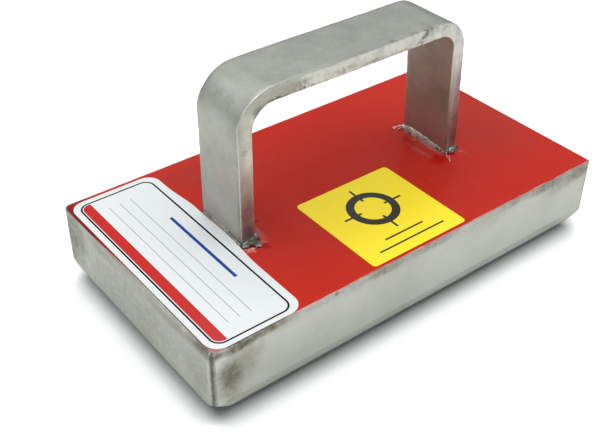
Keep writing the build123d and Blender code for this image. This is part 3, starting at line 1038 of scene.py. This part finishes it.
def weldFeet():
    low, high, feet = footSpans()
    ends = {
        "front": (low.y, low.y), "back": (high.y, high.y), "outer": (low.y, high.y), "inner": (low.y, high.y),
    }
    for index, ((foot, face), (first, last, away, stations)) in enumerate(welds["passes"].items()):
        sides, (startY, endY) = feet[foot], ends[face]
        start, end = (sides[first], startY, low.z), (sides[last], endY, low.z)
        shape = layPass(start, end, away, stations, index * 7.3)
        for number, (centre, size) in enumerate(welds["drops"].get((foot, face), ())):
            addDrop(shape, centre, size, index + number * 3.1)
        savePiece(meltTogether(shape), f"bead_{foot}_{face}", finishes["weld_metal"],
                  (f"weld_{foot}_{face}",), 70)


weldFeet()
print("weld passes laid")


# Red film, cut and torn round the feet

film = {
    "thickness": 0.2,
    "cornerFront": 1.4,
    "cornerBack": 3.0,
    "jag": 0.4,
    "waver": 0.3,
    "reach": (100, 54.5),
    "insets": ((0.25, 0.35), (0.2, 0.2)),  # left and front, right and back
    "edgeStep": 4,
    "rimOver": 0.3,
    "rimDown": 0.14,
    "rimFrom": (97, 51),  # past these the film's edge lies along the end or the side
    "lipWidth": 1.2,
    "lipHeight": (0.12, 0.3),  # least, and how much it varies
    "labelEdge": (-59.2, -57.6),
    # where the film was cut short of the rim: centre, radii, push (mm)
    "shortfalls": (
        ((-99.5, 54.5, 36), (8, 7, 9), (0.3, -0.2, 0)),
        ((-99.5, -22, 36), (6, 62, 9), (1.0, 0, 0)),
        ((-99.5, -54.5, 36), (7, 5, 9), (0.5, 0.5, 0)),
        ((-80, -54.5, 36), (20, 5, 9), (0, 0.8, 0)),
        ((-25, -54.5, 36), (14, 5, 9), (0, 0.4, 0)),
    ),
    "ringStep": 0.34,
    "ringCount": 22,
    "holeCorner": 1.0,
    "holeStep": 0.45,
    # cut-outs round the feet: how far each side stands off the bar (low x, high x, front, back)
    "cuts": {"left": (1.3, 1.7, 1.9, 1.9), "right": (1.0, 1.9, 1.2, 1.9)},
    # folds and tents in the film: crest, half width, height (mm)
    "folds": (
        (((-44.6, -2.5), (-46.2, -8.0), (-47.8, -13.0)), 1.6, 0.32),
        (((-57.0, -15.4), (-54.4, -16.8)), 0.9, 0.5),
        (((49.3, 3.0), (50.1, -3.0), (51.2, -9.5)), 2.2, 0.42),
        (((44.8, -0.5), (45.3, -5.0), (46.0, -10.0)), 1.8, 0.32),
        (((52.6, -12.0), (49.0, -14.0), (46.4, -14.2)), 1.2, 0.5),
        (((53.2, -13.6), (51.0, -15.6), (49.8, -18.2)), 0.7, 0.45),
        (((59.8, -13.0), (60.4, -17.6)), 0.5, 0.15),
        (((52.0, 17.4), (49.4, 17.4)), 0.9, 0.4),
    ),
}


def nearestOn(first, last, spot):
    run = last - first
    share = max(0.0, min(1.0, (spot - first).dot(run) / run.length_squared))
    return first + run * share


def foldHeight(x, y):
    # how far the film stands off the plate
    rise = 0.0
    spot = Vector((x, y))
    for crest, half, height in film["folds"]:
        gap = min((spot - nearestOn(Vector(a), Vector(b), spot)).length for a, b in zip(crest, crest[1:]))
        if gap < half:
            wobble = 1 + 0.35 * noise.noise(Vector((x / 1.8, y / 1.8, height)))
            rise = max(rise, height * wobble * (1 - (gap / half) ** 2) ** 1.5)
    return rise


def outlineLoop(target, low, high, radii, z, pieceLength):
    # adds a rounded rectangle of loose edges to target and returns them; radii are for front and back corners
    shape = flatPlate(low, high, z)
    middle = (low[1] + high[1]) / 2
    roundCorners(shape, [vert for vert in shape.verts if vert.co.y > middle], radii[1], 6)
    roundCorners(shape, [vert for vert in shape.verts if vert.co.y < low[1] + 0.01], radii[0], 6)
    bmesh.ops.delete(shape, geom=shape.faces[:], context="FACES_ONLY")
    for edge in shape.edges[:]:
        cuts = round(edge.calc_length() / pieceLength) - 1
        if cuts > 0:
            bmesh.ops.subdivide_edges(shape, edges=[edge], cuts=cuts)
    count = len(target.edges)
    joinInto(target, shape)
    target.edges.ensure_lookup_table()
    return target.edges[count:]


def cutSheet(shape, low, high):
    # the outer edge of the film, cut by hand and short of the rim in places
    (left, front), (right, back) = film["insets"]
    outer = outlineLoop(shape, (low.x + left, low.y + front), (high.x - right, high.y - back),
                        (film["cornerFront"], film["cornerBack"]), high.z, film["edgeStep"])
    for vert in {vert for edge in outer for vert in edge.verts}:
        point = vert.co.copy()
        for centre, radii, push in film["shortfalls"]:
            vert.co += Vector(push) * (1 - smoothStep(0.3, 1, reachFrom(point, centre, radii)))
        wander = abs(noise.noise(point / 12)) * film["waver"]
        vert.co -= Vector((point.x / film["reach"][0], point.y / film["reach"][1], 0)) * wander
    return outer


def tearRound(shape, low, high, top, number):
    # a torn hole round a foot with rings of film about it, lifted into lips and folds; returns the last ring
    corner = film["holeCorner"]
    ring = outlineLoop(shape, low, high, (corner, corner), top, film["holeStep"])
    centre = Vector(((low[0] + high[0]) / 2, (low[1] + high[1]) / 2, top))
    half = ((high[0] - low[0]) / 2 - corner, (high[1] - low[1]) / 2 - corner)

    def outward(point):
        arm = point - centre
        inner = Vector((max(-half[0], min(half[0], arm.x)), max(-half[1], min(half[1], arm.y)), 0))
        way = arm - inner
        way.z = 0
        return way.normalized()

    steps = {vert: outward(vert.co) for edge in ring for vert in edge.verts}
    for vert, way in steps.items():
        vert.co -= way * noise.noise(vert.co / 1.1 + Vector((number * 9, 0, 0))) * film["jag"]
    loose = set(steps)
    for index in range(film["ringCount"]):
        made = bmesh.ops.extrude_edge_only(shape, edges=ring)["geom"]
        fresh = {item for item in made if isinstance(item, bmesh.types.BMVert)}
        for vert in fresh:
            vert.co += outward(vert.co) * film["ringStep"] * (1 + 0.05 * index)
        edges = [item for item in made if isinstance(item, bmesh.types.BMEdge)]
        ring = [edge for edge in edges if fresh.issuperset(edge.verts)]
        if index < film["ringCount"] - 1:
            loose |= fresh
    least, varies = film["lipHeight"]
    for vert in loose:
        x, y = vert.co.x, vert.co.y
        inset = max(low[0] - x, x - high[0], low[1] - y, y - high[1])
        lip = least + varies * abs(noise.noise(vert.co / 0.9))
        lip *= max(0.0, 1 - max(0.0, inset) / film["lipWidth"])
        underLabel = 1 - smoothStep(*film["labelEdge"], x)
        vert.co.z = top + max(foldHeight(x, y), lip) * (1 - underLabel)
    return ring


def layFilm():
    low, high = boxOf("top_film")
    shape = bmesh.new()
    outer = cutSheet(shape, low, high)
    barLow, barHigh, feet = footSpans()
    fillEdges = list(outer)
    for number, (foot, (left, right, front, back)) in enumerate(film["cuts"].items()):
        holeLow = (feet[foot][0] - left, barLow.y - front)
        holeHigh = (feet[foot][1] + right, barHigh.y + back)
        fillEdges += tearRound(shape, holeLow, holeHigh, high.z, number)
    bmesh.ops.triangle_fill(shape, use_beauty=True, use_dissolve=False, edges=fillEdges)
    # the film is pressed down over the rounded rim
    rim = bmesh.ops.extrude_edge_only(shape, edges=outer)["geom"]
    for item in rim:
        if isinstance(item, bmesh.types.BMVert):
            over = film["rimOver"] + 0.12 * noise.noise(item.co / 7)
            item.co.x += math.copysign(over, item.co.x) if abs(item.co.x) > film["rimFrom"][0] else 0
            item.co.y += math.copysign(over, item.co.y) if abs(item.co.y) > film["rimFrom"][1] else 0
            item.co.z -= film["rimDown"]
    bmesh.ops.recalc_face_normals(shape, faces=shape.faces)
    if sum(face.normal.z for face in shape.faces) < 0:
        bmesh.ops.reverse_faces(shape, faces=shape.faces)
    piece = savePiece(shape, "film_sheet", finishes["red_film"], ("top_film",), 15)
    addModifier(piece, "thickness", "SOLIDIFY", thickness=film["thickness"] * mm, offset=-1)


# Shreds of film that the welding tore and curled up, each a strip with its own path
shreds = {
    "thickness": 0.12,
    "segments": 10,
    "twist": 0.9,
    "ragged": 0.5,
    # path points (mm), width
    "strips": (
        (((-57.6, -14.3, 36.6), (-56.8, -16.0, 36.9), (-55.2, -16.6, 36.8)), 1.1),
        (((-56.0, -15.2, 36.8), (-54.8, -16.4, 37.1), (-53.2, -16.2, 36.8)), 0.9),
        (((48.6, 17.8, 36.5), (50.6, 17.4, 37.0), (52.8, 16.4, 37.2)), 1.9),
        (((49.6, 15.6, 36.6), (51.0, 15.8, 36.9), (52.2, 15.4, 37.1)), 0.6),
        (((53.6, -11.6, 36.9), (52.6, -12.9, 37.2), (51.6, -13.9, 36.7)), 0.9),
        (((51.6, -14.2, 36.6), (50.7, -15.6, 37.1), (49.8, -18.0, 36.5)), 0.9),
        (((52.8, -14.4, 36.5), (51.6, -15.8, 36.9), (50.4, -17.0, 36.6)), 0.6),
        (((60.2, -12.1, 36.8), (60.2, -14.4, 36.9), (60.4, -17.4, 36.5)), 0.3),
    ),
}


def curlShreds():
    shape = bmesh.new()
    up = Vector((0, 0, 1))
    for number, (path, width) in enumerate(shreds["strips"]):
        first, middle, last = (Vector(point) for point in path)
        strip = bmesh.new()
        bmesh.ops.create_grid(strip, x_segments=shreds["segments"], y_segments=2, size=0.5)
        for vert in strip.verts:
            share, side = vert.co.x + 0.5, vert.co.y
            spot = first.lerp(middle, share).lerp(middle.lerp(last, share), share)
            across = (last - first).normalized().cross(up).normalized()
            narrow = math.sin(math.pi * min(0.92, share + 0.25)) ** 0.6
            twist = up * noise.noise(Vector((share * 3, number, 0))) * shreds["twist"]
            ragged = 1 + shreds["ragged"] * noise.noise(Vector((share * 6, side * 3, number)))
            vert.co = spot + (across + twist) * side * width * narrow * ragged
        joinInto(shape, strip)
    bmesh.ops.recalc_face_normals(shape, faces=shape.faces)
    piece = savePiece(shape, "film_shreds", finishes["torn_film"], (), 80)
    addModifier(piece, "thickness", "SOLIDIFY", thickness=shreds["thickness"] * mm, offset=0)


layFilm()
curlShreds()
print("film laid")


# Label and sticker

label = {
    "thickness": 0.15,
    "corner": 6.0,
    # it rides up on the weld of the left foot: how far its edge is pushed out and lifted
    "bulge": 0.8,
    "climb": 1.15,
    "bulgeWidth": 9,
    "bulgeFrom": (-24.0, -4.0),
    "bulgeTo": (20.0, 42.0),
    "climbFrom": (-5, 0.5),  # from the edge
    # where it is divided so that it can bend: distances from the edge, and every millimetre along it
    "insets": (0.4, 0.9, 1.5, 2.2, 3.0, 4.0, 5.2, 6.8, 9),
    "divided": (-50, 50),
}
sticker = {"thickness": 0.15, "corner": 1.8}


def rideUp(shape, edge, bulge):
    # lifts the side of the label that lies over the weld; edge is its high x
    planes = [((edge - inset, 0, 0), (1, 0, 0)) for inset in bulge["insets"]]
    planes += [((0, cut + 0.5, 0), (0, 1, 0)) for cut in range(*bulge["divided"])]
    for spot, facing in planes:
        bmesh.ops.bisect_plane(shape, geom=shape.verts[:] + shape.edges[:] + shape.faces[:], dist=0.0001,
                               plane_co=spot, plane_no=facing)
    for vert in shape.verts:
        near = smoothStep(edge - bulge["bulgeWidth"], edge, vert.co.x)
        span = smoothStep(*bulge["bulgeFrom"], vert.co.y) * (1 - smoothStep(*bulge["bulgeTo"], vert.co.y))
        rise = smoothStep(*bulge["climbFrom"], vert.co.x - edge)
        vert.co.x += bulge["bulge"] * near * span
        vert.co.z += bulge["climb"] * rise * span * (1 + 0.12 * noise.noise(vert.co / 4))


def stickDown(node, name, sheet):
    low, high = boxOf(node)
    shape = flatPlate(low, high, high.z)
    roundCorners(shape, shape.verts[:], sheet["corner"], 10)
    if "bulge" in sheet:
        rideUp(shape, high.x, sheet)
    piece = savePiece(shape, name, finishes[node], (node,), 40)
    addModifier(piece, "thickness", "SOLIDIFY", thickness=sheet["thickness"] * mm, offset=-1)


stickDown("white_label", "label_sheet", label)
stickDown("yellow_sticker", "sticker_sheet", sticker)
print("label and sticker stuck on")
